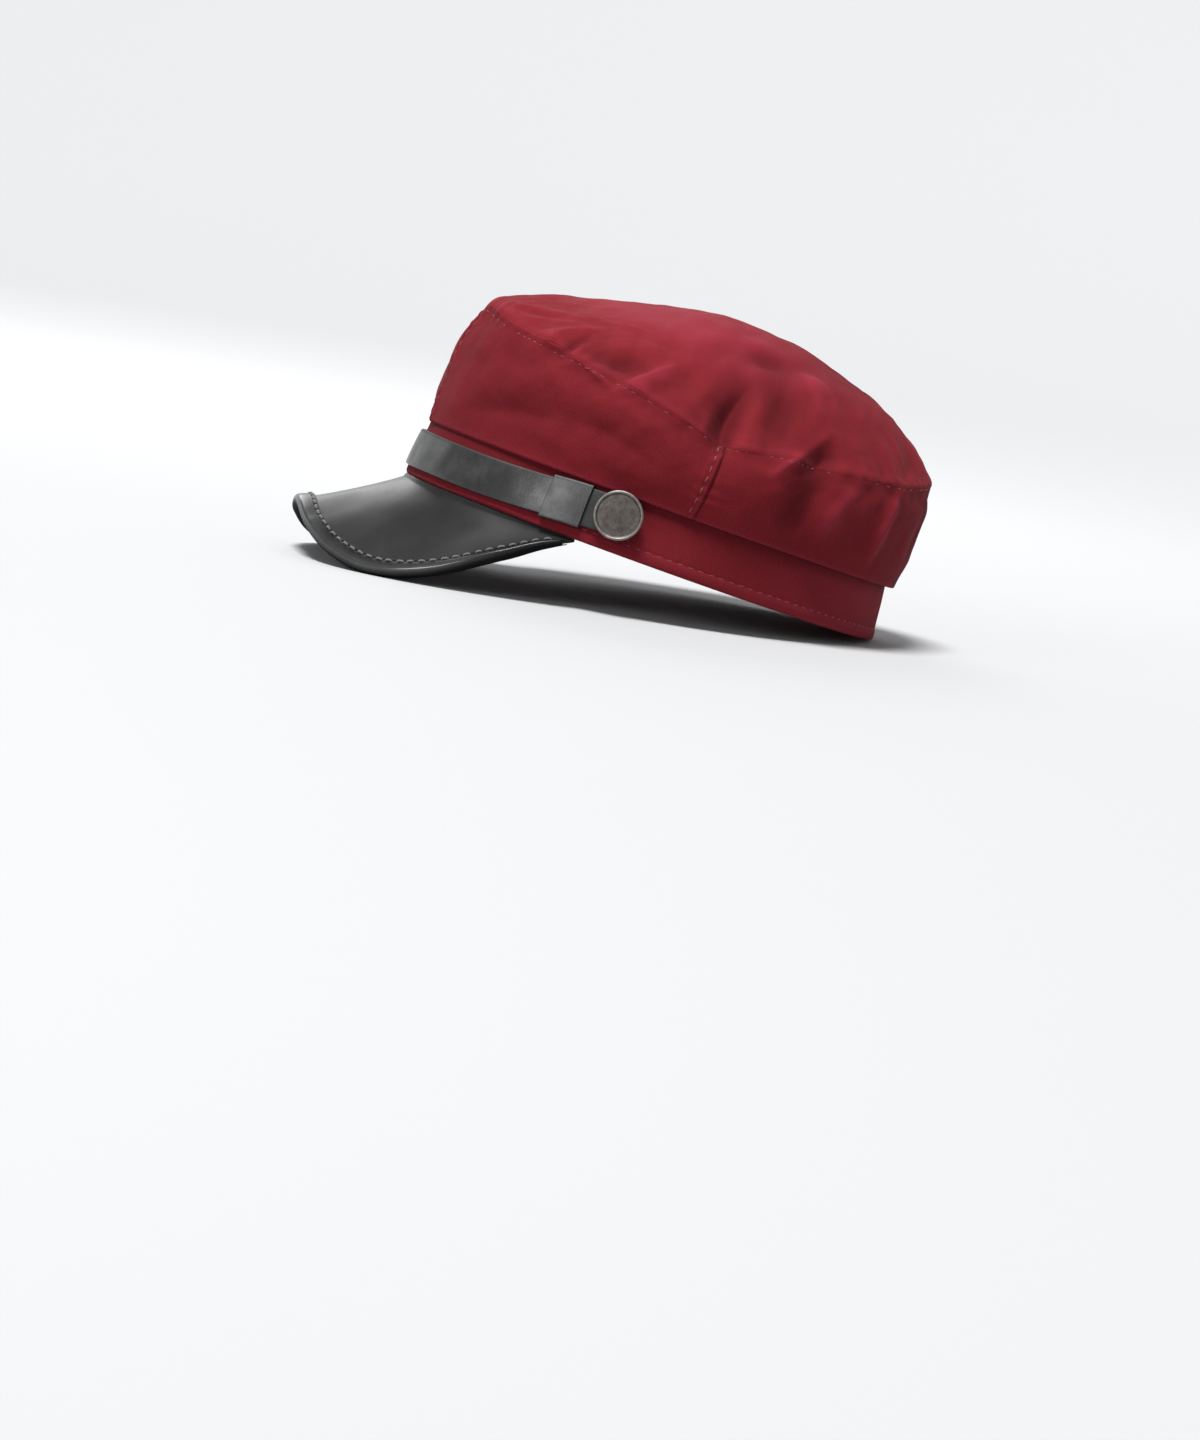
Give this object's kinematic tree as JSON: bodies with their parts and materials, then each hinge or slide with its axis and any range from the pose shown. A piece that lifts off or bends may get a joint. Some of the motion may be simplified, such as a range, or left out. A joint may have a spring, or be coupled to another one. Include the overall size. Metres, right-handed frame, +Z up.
{
  "type": "skipper cap",
  "caption": "Skipper cap with a full soft crown, plain band, smooth strap held by keepers and metal buttons, and a curved stitched peak.",
  "frame": {"origin": "on the surface it rests on, under the middle of its outline", "axes": "+Z up as it rests, the peak points to -Y, the wearer's left is +X"},
  "size_m": [0.178, 0.2514, 0.1186],
  "materials": {
    "cloth": "matt burgundy twill",
    "strap_leather": "smooth black, satin",
    "peak_leather": "smooth black, satin",
    "binding_leather": "smooth black, glossier at the roll",
    "button_metal": "dark antique silver"
  },
  "bodies": {
    "root": {"crown_tip": "cloth", "side_front_left": "cloth", "side_front_right": "cloth", "side_back": "cloth", "band": "cloth", "strap": "strap_leather", "keeper_left": "strap_leather", "keeper_right": "strap_leather", "button_left": "button_metal", "button_right": "button_metal", "peak": "peak_leather", "peak_binding": "binding_leather"}
  },
  "joints": []
}
